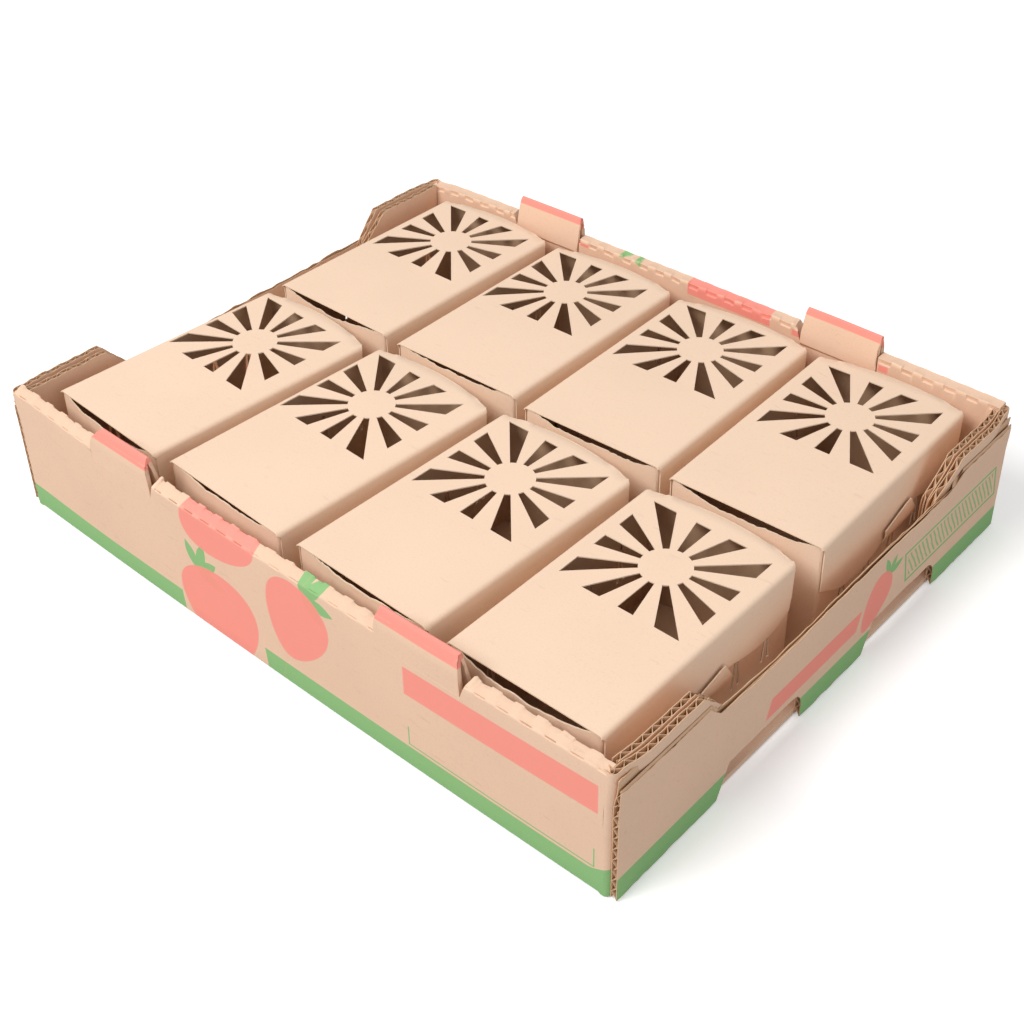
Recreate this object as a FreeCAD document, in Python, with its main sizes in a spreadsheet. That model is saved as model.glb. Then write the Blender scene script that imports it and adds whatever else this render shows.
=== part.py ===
import FreeCAD, Part
import math
import os

import Sketcher

# A produce tray folded from one corrugated blank, loaded with eight lidded paperboard cartons.
# Millimetres. X runs along the tray's long side, Y from the near long wall to the far one, Z up.
# The origin is at the centre of the tray's underside.

SIZES = [
    ("tray_length", 508, "over the two outer end panels"),
    ("tray_depth", 400, "over the long walls, at the corners"),
    ("wall_bow", 2.5, "how far the middle of a long wall bulges out"),
    ("board", 4, "thickness of the corrugated board"),
    ("rim_height", 92, "top of the long walls and of the corner posts"),
    ("corner_radius", 8, "where the long walls wrap round to the ends"),
    ("fold_radius", 2.5, "rounding of a fold in the corrugated board"),
    ("panel_inset", 6, "from the long wall's face to the outer end panel's raw edge"),
    ("panel_post_height", 79.5, "outer end panel beside the corner posts"),
    ("panel_low_height", 68, "outer end panel between the posts, near side"),
    ("panel_dip_height", 65.5, "lowest point of that edge"),
    ("panel_far_height", 70.5, "outer end panel between the posts, far side"),
    ("panel_dip_y", -75, "where the edge is lowest"),
    ("panel_near_foot_y", -113, "foot of the near shoulder"),
    ("panel_near_top_y", -125, "top of the near shoulder"),
    ("panel_far_foot_y", 125, "foot of the far shoulder"),
    ("panel_far_top_y", 138, "top of the far shoulder"),
    ("post_top_y", 131, "inner end of a corner post's top edge"),
    ("post_foot_y", 110, "inner end of a corner post below its shoulder"),
    ("post_foot_height", 70, "bottom of the post's sloping shoulder"),
    ("post_toe_y", 124, "inner end of a corner post at the floor"),
    ("post_toe_height", 34, "where the post starts to narrow to the floor"),
    ("notch_height", 22, "hand notches in the bottom of the end panels"),
    ("notch_radius", 11, "rounded far corner of a notch"),
    ("notch_lean", 10, "run of a notch's slanted near end"),
    ("near_notch_start", -112, "near notch, near end at the floor"),
    ("near_notch_end", -31, "near notch, far end"),
    ("far_notch_start", 35, "far notch, near end at the floor"),
    ("far_notch_end", 118, "far notch, far end"),
    ("tab_start", 94, "stacking tab, end nearer the middle"),
    ("tab_end", 160, "stacking tab, end nearer the corner"),
    ("tab_lean", 9, "run of a tab's slanted left end"),
    ("tab_fold_height", 98.5, "where a tab's outer face starts to lean in"),
    ("tab_height", 107.7, "ridge of a tab"),
    ("tab_ridge_in", 2.3, "ridge, inboard of the tab's outer face"),
    ("tab_ridge_width", 2.2, "width of the ridge"),
    ("tab_foot_out", 2, "how far a tab's inner leg stands out from the wall"),
    ("tab_leg", 3, "board of a tab's two legs, crushed by the folding"),
    ("slit_depth", 12, "tear beside a tab, below the rim"),
    ("slit_width", 3.2, "width of that tear at the rim"),
    ("slit_lean", 1, "lean of the tear's edge that the tab keeps"),
    ("card", 0.8, "thickness of the cartons' paperboard"),
    ("carton_width", 106, "carton lid, side to side"),
    ("carton_depth", 180, "carton lid, near edge to the crown of the far arch"),
    ("carton_height", 86, "carton floor to lid top"),
    ("arch_rise", 8, "bulge of the carton's curved far edge"),
    ("front_bow", 4, "bulge of the carton's front wall"),
    ("front_dip", 4.5, "dip of the torn top edge of the front wall"),
    ("lid_corner", 7, "rounded far corners of the lid"),
    ("base_corner", 4, "rounded upright corners of the base"),
    ("fit_gap", 0.4, "room between a lid's flap and the base"),
    ("flap_depth", 30, "depth of a lid's side flap at its ends"),
    ("flap_belly", 5, "extra depth in the middle of a flap"),
    ("flap_flare", 3.5, "how far a flap stands out at its lower edge"),
    ("flap_back_gap", 10, "from the arch's foot to the flap's far end"),
    ("flap_front_gap", 3, "from the lid's near edge to the flap's near end"),
    ("fold_round", 0.5, "rounding of the fold above a flap"),
    ("vent_half", 43, "half the side of the square that the rays end on"),
    ("vent_hub", 15.5, "radius of the uncut disc amid the rays"),
    ("vent_turn", 6.6, "angle of the first ray, in degrees"),
    ("vent_spread", 14, "angle between a ray's two edges, in degrees"),
    ("vent_step", 30, "angle from one ray to the next, in degrees"),
    ("vent_from_arch", 55, "centre of the rays from the arch's crown"),
    ("vent_side_shift", -2.5, "centre of the rays from the lid's middle line"),
    ("slot_pitch", 29, "between the tall vents in a carton's side walls"),
    ("slot_foot_width", 7, "tall vent, at its foot"),
    ("slot_head_width", 2, "tall vent, at its head"),
    ("slot_foot_height", 30, "foot of a tall vent above the carton's floor"),
    ("slot_head_height", 62, "head of a tall vent"),
]

# Where each carton stands: name, centre x, centre y and turn about Z in degrees.
CARTONS = [
    ("near_1", -172.0, -89.5, -3.0),
    ("near_2", -56.5, -90.5, -2.6),
    ("near_3", 60.5, -92.0, -1.4),
    ("near_4", 178.5, -93.0, 0.0),
    ("far_1", -168.0, 98.5, 0.0),
    ("far_2", -50.0, 97.5, 0.8),
    ("far_3", 65.5, 96.0, 1.6),
    ("far_4", 180.5, 96.5, 1.6),
]

SIDE_SLOTS = 5
RAYS_A_SIDE = 3
SIDES_OF_A_SQUARE = 4
FULL_TURN = 360
EIGHTH_TURN = FULL_TURN / 8
PARALLEL = 0.99


class Size:
    """A number together with the sheet formula that gives it."""

    def __init__(self, value, formula):
        self.value = value
        self.formula = formula

    def __add__(self, other):
        other = size(other)
        return Size(self.value + other.value, f"({self.formula} + {other.formula})")

    def __radd__(self, other):
        return size(other) + self

    def __sub__(self, other):
        other = size(other)
        return Size(self.value - other.value, f"({self.formula} - {other.formula})")

    def __rsub__(self, other):
        return size(other) - self

    def __mul__(self, other):
        other = size(other)
        return Size(self.value * other.value, f"({self.formula} * {other.formula})")

    def __rmul__(self, other):
        return size(other) * self

    def __truediv__(self, other):
        other = size(other)
        return Size(self.value / other.value, f"({self.formula} / {other.formula})")

    def __neg__(self):
        return Size(-self.value, f"(-1 * {self.formula})")

    def cos(self):
        return Size(math.cos(math.radians(self.value)), f"cos({self.formula})")

    def sin(self):
        return Size(math.sin(math.radians(self.value)), f"sin({self.formula})")


def size(thing):
    return thing if isinstance(thing, Size) else Size(float(thing), str(float(thing)))


document = FreeCAD.newDocument("loaded_tray")
sheet = document.addObject("Spreadsheet::Sheet", "Sizes")
S = {}
for row, (alias, number, note) in enumerate(SIZES, start=1):
    sheet.set(f"A{row}", alias)
    sheet.set(f"B{row}", str(number))
    sheet.set(f"C{row}", note)
    sheet.setAlias(f"B{row}", alias)
    S[alias] = Size(float(number), f"Sizes.{alias}")
document.recompute()


class Bulge:
    """Marks a side of an outline as an arc: its rise outwards from a chord."""

    def __init__(self, rise, chord):
        self.rise = rise
        self.radius = (chord * chord / 4 + rise * rise) / (rise * 2)


class InwardQuarter:
    """Marks a side of an outline as a quarter circle that rounds an inner corner."""

    def __init__(self, radius):
        self.rise = -radius * (1 - size(EIGHTH_TURN).cos())
        self.radius = radius


def sketch_on(body, plane, name, lift=0):
    """A sketch on one of the body's own planes, moved along the plane's normal by lift."""
    sketch = body.newObject("Sketcher::SketchObject", name)
    support = [f for f in body.Origin.OriginFeatures if f.Role == f"{plane}_Plane"][0]
    sketch.AttachmentSupport = [(support, "")]
    sketch.MapMode = "FlatFace"
    sketch.setExpression("AttachmentOffset.Base.z", size(lift).formula)
    return sketch


def outline(sketch, corners, bulges=None):
    """A closed outline through the corners, each held at its sheet size from the origin.

    bulges gives, for the side that starts at a corner's number, the arc that replaces the line.
    """
    corners = [(size(x), size(y)) for x, y in corners]
    bulges = bulges or {}
    spots = [FreeCAD.Vector(x.value, y.value, 0) for x, y in corners]
    starts, ends = [], []
    for number, spot in enumerate(spots):
        after = spots[(number + 1) % len(spots)]
        if number in bulges:
            along = after - spot
            side = FreeCAD.Vector(along.y, -along.x, 0).normalize()
            middle = (spot + after) * 0.5 + side * bulges[number].rise.value
            forward = bulges[number].rise.value > 0
            first, last = (spot, after) if forward else (after, spot)
            piece = sketch.addGeometry(Part.Arc(first, middle, last), False)
            starts.append((piece, 1 if forward else 2))
            ends.append((piece, 2 if forward else 1))
        else:
            piece = sketch.addGeometry(Part.LineSegment(spot, after), False)
            starts.append((piece, 1))
            ends.append((piece, 2))
    for number, start in enumerate(starts):
        sketch.addConstraint(Sketcher.Constraint("Coincident", *ends[number - 1], *start))
    for start, (x, y) in zip(starts, corners):
        hold(sketch, Sketcher.Constraint("DistanceX", -1, 1, *start, x.value), x)
        hold(sketch, Sketcher.Constraint("DistanceY", -1, 1, *start, y.value), y)
    for number, bulge in bulges.items():
        radius = bulge.radius if bulge.radius.value > 0 else -bulge.radius
        hold(sketch, Sketcher.Constraint("Radius", starts[number][0], radius.value), radius)


def hold(sketch, constraint, wanted):
    number = sketch.addConstraint(constraint)
    sketch.setExpression(f"Constraints[{number}]", wanted.formula)


def feature(body, kind, name, profile, length):
    """A Pad or Pocket that runs from its sketch along the sketch's normal."""
    made = body.newObject(f"PartDesign::{kind}", name)
    made.Profile = profile
    made.setExpression("Length", size(length).formula)
    made.Reversed = kind == "Pocket"
    document.recompute()
    if "Invalid" in made.State or made.Shape.isNull():
        raise RuntimeError(f"{body.Label} {name} fails")
    return made


def pad(body, name, profile, length):
    return feature(body, "Pad", name, profile, length)


def pocket(body, name, profile, length):
    before = body.Shape.Volume
    made = feature(body, "Pocket", name, profile, length)
    if not body.Shape.Volume < before:
        raise RuntimeError(f"{body.Label} {name} cuts nothing")
    return made


def fillet(body, name, radius, chosen):
    """Rounds the edges of the body's last feature that the test chooses."""
    base = body.Tip
    names = [f"Edge{n}" for n, edge in enumerate(base.Shape.Edges, start=1) if chosen(edge)]
    if not names:
        raise RuntimeError(f"{body.Label} {name} finds no edge")
    made = body.newObject("PartDesign::Fillet", name)
    made.Base = (base, names)
    made.setExpression("Radius", radius.formula)
    document.recompute()
    if "Invalid" in made.State or made.Shape.isNull():
        raise RuntimeError(f"{body.Label} {name} fails")
    return made


def direction(edge):
    along = edge.valueAt(edge.LastParameter) - edge.valueAt(edge.FirstParameter)
    return along.normalize() if along.Length > 0 else along


def is_upright(edge):
    return abs(direction(edge).z) > PARALLEL


def near(number, wanted, slack=0.05):
    return abs(number - wanted) < slack


def new_body(label, place=None):
    body = document.addObject("PartDesign::Body", label)
    body.Label = label
    body.Placement = place or FreeCAD.Placement()
    return body


def make_tray():
    """The tray: rolled double long walls with four stacking tabs, corner posts and outer end panels."""
    body = new_body("tray")
    board = S["board"]
    wall = board * 2
    half_depth = S["tray_depth"] / 2
    post_x = S["tray_length"] / 2 - board
    inner_x = post_x - wall
    inner_y = half_depth - wall
    rim = S["rim_height"]

    def bowed(name, x, y, lift):
        profile = sketch_on(body, "XY", name, lift)
        long_sides = Bulge(S["wall_bow"], x * 2)
        outline(profile, [(-x, -y), (x, -y), (x, y), (-x, y)], {0: long_sides, 2: long_sides})
        return profile

    pad(body, "walls", bowed("walls_plan", post_x, half_depth, 0), rim)
    fillet(body, "wrapped_corners", S["corner_radius"], is_upright)
    fillet(body, "bottom_folds", S["fold_radius"], lambda e: near(e.CenterOfMass.z, 0))
    fillet(body, "rolled_rim", S["fold_radius"], lambda e: near(e.CenterOfMass.z, rim.value))
    pocket(body, "inside", bowed("inside_plan", inner_x, inner_y, board), rim)

    raw_tops = sketch_on(body, "XY", "raw_tops_plan", rim - board)
    for x_way in (-1, 1):
        for y_way in (-1, 1):
            outline(raw_tops, [
                (inner_x * x_way, S["post_foot_y"] * y_way), (post_x * x_way, S["post_foot_y"] * y_way),
                (post_x * x_way, (half_depth - S["corner_radius"]) * y_way),
                (inner_x * x_way, (half_depth - S["corner_radius"]) * y_way)])
    pad(body, "raw_tops", raw_tops, board)

    posts = sketch_on(body, "YZ", "post_profile", -post_x)
    outline(posts, [
        (-S["post_toe_y"], board), (S["post_toe_y"], board), (S["post_foot_y"], S["post_toe_height"]),
        (S["post_foot_y"], S["post_foot_height"]), (S["post_top_y"], rim), (S["post_top_y"], rim + board),
        (-S["post_top_y"], rim + board), (-S["post_top_y"], rim), (-S["post_foot_y"], S["post_foot_height"]),
        (-S["post_foot_y"], S["post_toe_height"])])
    pocket(body, "between_posts", posts, post_x * 2)

    panel_y = half_depth - S["panel_inset"]
    round_end = S["notch_radius"]
    for side, lift in (("left", -post_x - board), ("right", post_x)):
        panel = sketch_on(body, "YZ", f"{side}_panel_profile", lift)
        outline(panel, [
            (-panel_y, 0), (S["near_notch_start"], 0),
            (S["near_notch_start"] + S["notch_lean"], S["notch_height"]),
            (S["near_notch_end"] - round_end, S["notch_height"]),
            (S["near_notch_end"], S["notch_height"] - round_end), (S["near_notch_end"], 0),
            (S["far_notch_start"], 0), (S["far_notch_start"] + S["notch_lean"], S["notch_height"]),
            (S["far_notch_end"] - round_end, S["notch_height"]),
            (S["far_notch_end"], S["notch_height"] - round_end), (S["far_notch_end"], 0), (panel_y, 0),
            (panel_y, S["panel_post_height"]), (S["panel_far_top_y"], S["panel_post_height"]),
            (S["panel_far_foot_y"], S["panel_far_height"]), (S["panel_dip_y"], S["panel_dip_height"]),
            (S["panel_near_foot_y"], S["panel_low_height"]),
            (S["panel_near_top_y"], S["panel_post_height"]), (-panel_y, S["panel_post_height"])],
            {3: InwardQuarter(round_end), 8: InwardQuarter(round_end)})
        pad(body, f"{side}_panel", panel, board)
    add_tabs(body, half_depth, wall, rim)
    return body


def add_tabs(body, half_depth, wall, rim):
    """Four tent-shaped stacking tabs that rise from the long walls, torn free at their ends."""
    half_length = S["tray_length"] / 2
    middle = (S["tab_start"] + S["tab_end"]) / 2
    bow_there = S["wall_bow"] * (1 - middle * middle / (half_length * half_length))
    face = half_depth + bow_there
    root = rim - S["slit_depth"]
    inner_foot = face - wall - S["tab_foot_out"]
    ridge = face - S["tab_ridge_in"]
    ridge_inner = ridge - S["tab_ridge_width"]
    leg = S["tab_leg"]
    hollow_top = S["tab_fold_height"] + leg
    tab_length = S["tab_end"] - S["tab_start"]
    starts = (("left", -S["tab_end"]), ("right", S["tab_start"]))
    for side, lift in starts:
        for wall_name, way in (("near", -1), ("far", 1)):
            name = f"{wall_name}_{side}_tab"
            profile = sketch_on(body, "YZ", f"{name}_profile", lift)
            outline(profile, [
                (face * way, root), (face * way, S["tab_fold_height"]), (ridge * way, S["tab_height"]),
                (ridge_inner * way, S["tab_height"]), (inner_foot * way, root + leg),
                ((face - wall) * way, root)])
            pad(body, name, profile, tab_length)
            hollow = sketch_on(body, "YZ", f"{name}_hollow_profile", lift)
            outline(hollow, [
                ((face - leg) * way, root), ((face - leg) * way, hollow_top),
                ((inner_foot + leg) * way, root + leg), ((inner_foot + leg) * way, root)])
            pocket(body, f"{name}_hollow", hollow, tab_length)
    reach = half_depth + wall
    cuts = sketch_on(body, "XZ", "tab_ends_profile", -reach)
    for _, start in starts:
        end = start + tab_length
        outline(cuts, [(start - S["slit_width"], rim + leg), (start + S["tab_lean"], S["tab_height"] + leg),
                       (start - S["slit_width"], S["tab_height"] + leg)])
        outline(cuts, [(end, root), (end + S["slit_width"], rim + leg), (end - S["slit_lean"], rim + leg)])
    pocket(body, "tab_ends", cuts, reach * 2)


def carton_place(x, y, turn, lift):
    """Where a carton's own origin, amid its floor, lies in the tray."""
    spot = FreeCAD.Vector(x, y, lift)
    return FreeCAD.Placement(spot, FreeCAD.Rotation(FreeCAD.Vector(0, 0, 1), turn))


def make_carton_base(name, place):
    """An open carton with a bowed, torn-edged front wall, an arched back wall and vented sides."""
    body = new_body(f"carton_base_{name}", place)
    card = S["card"]
    half_width = S["carton_width"] / 2 - card - S["fit_gap"]
    front = S["carton_depth"] / 2 - card
    back = front - S["arch_rise"]
    top = S["carton_height"] - card - S["fit_gap"] / 2

    def plan(sketch_name, inset, lift):
        profile = sketch_on(body, "XY", sketch_name, lift)
        x = half_width - inset
        outline(profile, [(-x, inset - front), (x, inset - front), (x, back - inset), (-x, back - inset)],
                {0: Bulge(S["front_bow"], x * 2), 2: Bulge(S["arch_rise"], x * 2)})
        return profile

    pad(body, "carton", plan("carton_plan", 0, 0), top)
    fillet(body, "corners", S["base_corner"], is_upright)
    pocket(body, "inside", plan("inside_plan", card, card), top)

    dip = sketch_on(body, "XZ", "torn_edge_profile", front - S["base_corner"])
    dip_half = half_width - S["base_corner"]
    outline(dip, [(-dip_half, top), (dip_half, top)], {0: Bulge(S["front_dip"], dip_half * 2)})
    pocket(body, "torn_edge", dip, S["front_bow"] + S["base_corner"] * 2)

    slots = sketch_on(body, "YZ", "side_vents_profile", -half_width - card)
    for number in range(SIDE_SLOTS):
        y = S["slot_pitch"] * (number - (SIDE_SLOTS - 1) / 2)
        outline(slots, [
            (y - S["slot_foot_width"] / 2, S["slot_foot_height"]),
            (y + S["slot_foot_width"] / 2, S["slot_foot_height"]),
            (y + S["slot_head_width"] / 2, S["slot_head_height"]),
            (y - S["slot_head_width"] / 2, S["slot_head_height"])])
    pocket(body, "side_vents", slots, (half_width + card) * 2)
    return body


def make_carton_lid(name, place):
    """A lid with an arched hinge edge, two flared side flaps and a sunburst of twelve vents."""
    body = new_body(f"carton_lid_{name}", place)
    card = S["card"]
    half_width = S["carton_width"] / 2
    near_edge = -S["carton_depth"] / 2
    arch_foot = S["carton_depth"] / 2 - S["arch_rise"]
    top = S["carton_height"]

    profile = sketch_on(body, "XY", "top_plan", top - card)
    outline(profile, [(-half_width, near_edge), (half_width, near_edge), (half_width, arch_foot),
                      (-half_width, arch_foot)], {2: Bulge(S["arch_rise"], half_width * 2)})
    pad(body, "top", profile, card)
    fillet(body, "far_corners", S["lid_corner"], lambda e: is_upright(e) and e.CenterOfMass.y > 0)

    flap_near = near_edge + S["flap_front_gap"]
    flap_far = arch_foot - S["flap_back_gap"]
    flap_length = flap_far - flap_near
    flap_foot = top - S["flap_depth"] - S["flap_belly"]
    section = sketch_on(body, "XZ", "flap_section", -flap_far)
    for way in (-1, 1):
        outline(section, [
            ((half_width - card) * way, top), (half_width * way, top), (half_width * way, top - card),
            ((half_width + S["flap_flare"]) * way, flap_foot),
            ((half_width + S["flap_flare"] - card) * way, flap_foot),
            ((half_width - card) * way, top - card)])
    pad(body, "flaps", section, flap_length)
    fillet(body, "rounded_folds", S["fold_round"],
           lambda e: abs(direction(e).y) > PARALLEL and near(e.CenterOfMass.z, top.value)
           and near(abs(e.CenterOfMass.x), half_width.value))

    hem = sketch_on(body, "YZ", "hem_profile", -half_width - S["flap_flare"] - card)
    hem_height = top - S["flap_depth"]
    outline(hem, [
        (flap_near - card, hem_height), (flap_near - card, flap_foot - card),
        (flap_far + card, flap_foot - card), (flap_far + card, hem_height)],
        {3: Bulge(-S["flap_belly"], flap_length + card * 2)})
    pocket(body, "hem", hem, (half_width + S["flap_flare"] + card) * 2)

    rays = sketch_on(body, "XY", "rays_plan", top - card * 2)
    rays.setExpression("AttachmentOffset.Base.x", S["vent_side_shift"].formula)
    rays.setExpression("AttachmentOffset.Base.y", (S["carton_depth"] / 2 - S["vent_from_arch"]).formula)
    hub, reach = S["vent_hub"], S["vent_half"]
    for number in range(RAYS_A_SIDE):
        middle = S["vent_turn"] + S["vent_step"] * (number + 2)
        first, last = middle - S["vent_spread"] / 2, middle + S["vent_spread"] / 2
        outline(rays, [
            (hub * first.cos(), hub * first.sin()), (reach * first.cos() / first.sin(), reach),
            (reach * last.cos() / last.sin(), reach), (hub * last.cos(), hub * last.sin())])
    ray_pocket = pocket(body, "rays", rays, card * 3)
    fan = body.newObject("PartDesign::PolarPattern", "all_rays")
    fan.Originals = [ray_pocket]
    fan.Axis = (rays, ["N_Axis"])
    fan.Angle = FULL_TURN
    fan.Occurrences = SIDES_OF_A_SQUARE
    body.Tip = fan
    document.recompute()
    return body


def check(parts):
    """Stops unless every object of the document and every sub-part's solid is sound."""
    failed = [o.Label for o in document.Objects if "Invalid" in o.State or "Error" in o.State]
    if failed:
        raise RuntimeError(f"failed objects: {failed}")
    for part in parts:
        shape = part.Shape
        if shape.isNull() or not shape.isValid() or len(shape.Solids) != 1:
            raise RuntimeError(f"{part.Label} isn't one valid solid")


sub_parts = [make_tray()]
for carton_name, centre_x, centre_y, turned in CARTONS:
    spot = carton_place(centre_x, centre_y, turned, S["board"].value)
    sub_parts.append(make_carton_base(carton_name, spot))
    sub_parts.append(make_carton_lid(carton_name, spot))
document.recompute()
check(sub_parts)

os.makedirs("parts", exist_ok=True)
for sub_part in sub_parts:
    sub_part.Shape.exportStep(f"parts/{sub_part.Label}.step")
    print(sub_part.Label, round(sub_part.Shape.Volume), sub_part.Shape.BoundBox)
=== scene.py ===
import math

import bpy
import numpy as np
from mathutils import Matrix, Vector
from mathutils.geometry import delaunay_2d_cdt


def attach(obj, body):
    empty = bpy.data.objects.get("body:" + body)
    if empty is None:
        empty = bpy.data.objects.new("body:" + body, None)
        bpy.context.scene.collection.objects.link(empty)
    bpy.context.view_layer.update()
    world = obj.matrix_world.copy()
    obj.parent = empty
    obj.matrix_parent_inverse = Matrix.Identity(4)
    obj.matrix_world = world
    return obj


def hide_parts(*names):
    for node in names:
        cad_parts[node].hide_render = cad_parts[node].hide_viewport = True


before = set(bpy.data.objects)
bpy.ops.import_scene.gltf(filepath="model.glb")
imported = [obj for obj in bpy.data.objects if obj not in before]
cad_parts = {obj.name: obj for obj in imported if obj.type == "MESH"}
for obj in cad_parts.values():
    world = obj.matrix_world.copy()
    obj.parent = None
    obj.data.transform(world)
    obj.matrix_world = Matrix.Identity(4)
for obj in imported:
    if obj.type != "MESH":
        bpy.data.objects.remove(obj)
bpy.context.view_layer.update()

# A produce tray of corrugated board, loaded with eight lidded paperboard cartons.
# Lengths are in millimetres up to the moment a mesh is made. X runs along the tray's long side,
# Y from the near long wall to the far one, Z up, and the origin is amid the tray's underside.
MM = 0.001


def arc_radius(half_width, height):
    """The radius of an arc that is this high over its half width."""
    return (half_width ** 2 + height ** 2) / (2 * height)


# The tray
HALF_LENGTH = 254.0
HALF_DEPTH = 200.0
WALL_BOW = 2.5
BOARD = 4.0
WALL = 2 * BOARD
POST_X = HALF_LENGTH - BOARD
INNER_X = POST_X - WALL
INNER_Y = HALF_DEPTH - WALL
RIM = 92.0
CORNER_ROUND = 4.3
WALL_END = POST_X - CORNER_ROUND
# Where a long wall's ends begin along X, and the height from which the corners lean
CORNER_FROM = 205.0
LEAN_FROM = 60.0
# The board's liners and the fluted medium between them
LINER = 0.45
FLUTE_PITCH = 7.8
MEDIUM = 0.35
MEDIUM_PART = 8.0
# The corner posts: how far their board laps the long wall, and their sloping inner edges
POST_LEAD = 2.6
POST_TOP_Y = 131.0
POST_FOOT_Y = 110.0
POST_FOOT_HEIGHT = 70.0
POST_TOE_Y = 124.0
POST_TOE_HEIGHT = 34.0
# The tabs and the rims' creases
TAB_ROOT = 80.0
TAB_FOLD = 98.5
TAB_HEIGHT = 107.7
CREASED_FROM = 84.0
SLIT_WIDTH = 5.0
CREASE_PITCH = 15.5
FOOT_ROUND = 2.5
# An end panel's edge from one side to the other
PANEL_EDGE_Y = (-125, -113, -75, 125, 138)
PANEL_EDGE_Z = (79.5, 68, 65.5, 70.5, 79.5)

# The stacking tabs: the way their wall faces, their ends along X and how far the left end slopes in
TABS = {
    "near_left": (-1, -162.5, -103.0, 14.0), "near_right": (-1, 90.5, 152.5, 5.0),
    "far_left": (1, -155.5, -95.5, 0.5), "far_right": (1, 101.0, 160.0, 1.0),
}
# How far the tops of a post's inner and outer boards have splayed outwards
RIGHT_LEAN = (3.2, 4.8)
LEFT_LEAN = (-1.5, 2.5)
CORNER_SHARE = 0.4

# The cartons: centre x, centre y and turn about Z in degrees, as in the frame, and how far the torn
# front wall drops and bulges
CARTONS = {
    "near_1": (-172.0, -89.5, -3.0, 3.6, 3.0), "near_2": (-56.5, -90.5, -2.6, 1.6, 2.4),
    "near_3": (60.5, -92.0, -1.4, 1.4, 2.4), "near_4": (178.5, -93.0, 0.0, 3.8, 4.0),
    "far_1": (-168.0, 98.5, 0.0, 3.0, 3.4), "far_2": (-50.0, 97.5, 0.8, 1.2, 2.4),
    "far_3": (65.5, 96.0, 1.6, 2.4, 2.8), "far_4": (180.5, 96.5, 1.6, 2.6, 3.2),
}
CARD = 0.8
LID_HALF = 53.0
LID_NEAR = -90.0
ARCH_FOOT = 82.0
ARCH_RISE = 8.0
ARCH_RADIUS = arc_radius(LID_HALF, ARCH_RISE)
ARCH_CENTRE_Y = ARCH_FOOT + ARCH_RISE - ARCH_RADIUS
CARTON_TOP = 86.0
BASE_HALF = LID_HALF - CARD - 0.4
FRONT_HALF = BASE_HALF - 4
# The radii of a lid's folds along its sides and its arch, its far corners and its flaps' depth
FOLD = 3.2
ARCH_FOLD = 2.0
LID_CORNER = 4.5
FLAP_DEPTH = 34.0
# The slots in a carton's side
SIDE_VENTS = 5
SIDE_VENT_PITCH = 29
SIDE_VENT = [(-4.5, 30), (-2.2, 30), (-0.3, 50), (1.6, 30), (4.2, 30), (1, 58), (-1, 58)]
# The rays in a lid
VENT_HALF = 43.0
VENT_HUB = 15.5
VENT_TURN = 6.6
VENT_SPREAD = 14.0
VENT_Y = ARCH_FOOT + ARCH_RISE - 55.0
VENT_X = -2.5
# How far some lids' vents stand from the usual place
VENT_SHIFTS = {
    "near_1": (-3, -1.2), "near_2": (-3, -1.2), "near_4": (2, -3.4), "far_2": (-3, -1.2), "far_4": (2, -3.4),
}

TRAY_BODY = "tray_with_cartons"


# Lines and outlines

def wander(at, seed, length):
    """Smooth noise from -1 to 1 along a line, with one knot in each length."""
    knots = np.random.default_rng(seed).uniform(-1, 1, 512)
    place = np.asarray(at, float) / length + 256
    low = np.floor(place).astype(int)
    part = place - low
    part = part * part * (3 - 2 * part)
    return knots[low % 512] * (1 - part) + knots[(low + 1) % 512] * part


def rise(value, low, high):
    """0 below low, 1 above high, smooth in between."""
    part = np.clip((np.asarray(value, float) - low) / (high - low), 0, 1)
    return part * part * (3 - 2 * part)


def dense(corners, step):
    """A closed outline with points added so that no side is longer than step."""
    points = []
    for here, after in zip(corners, list(corners[1:]) + [corners[0]]):
        here, after = np.array(here, float), np.array(after, float)
        count = max(1, math.ceil(np.linalg.norm(after - here) / step))
        points += [here + (after - here) * k / count for k in range(count)]
    return np.array(points)


def arc(centre, radius, first, last, count):
    """Points on a circle between two angles in degrees, both ends included."""
    return [(centre[0] + radius * math.cos(math.radians(a)), centre[1] + radius * math.sin(math.radians(a)))
            for a in np.linspace(first, last, count)]


def inside(points, loop):
    """Which of the points lie in a closed loop."""
    x, y = points[:, 0][:, None], points[:, 1][:, None]
    ax, ay = loop[:, 0], loop[:, 1]
    bx, by = np.roll(ax, -1), np.roll(ay, -1)
    spans = (ay > y) != (by > y)
    with np.errstate(divide="ignore", invalid="ignore"):
        crossing = (bx - ax) * (y - ay) / (by - ay) + ax
    return (spans & (x < crossing)).sum(1) % 2 == 1


def clearance(points, loop):
    """Distance from each point to the nearest point of a dense loop."""
    return np.min(np.linalg.norm(points[:, None] - loop[None], axis=2), axis=1)


# Meshes

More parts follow.
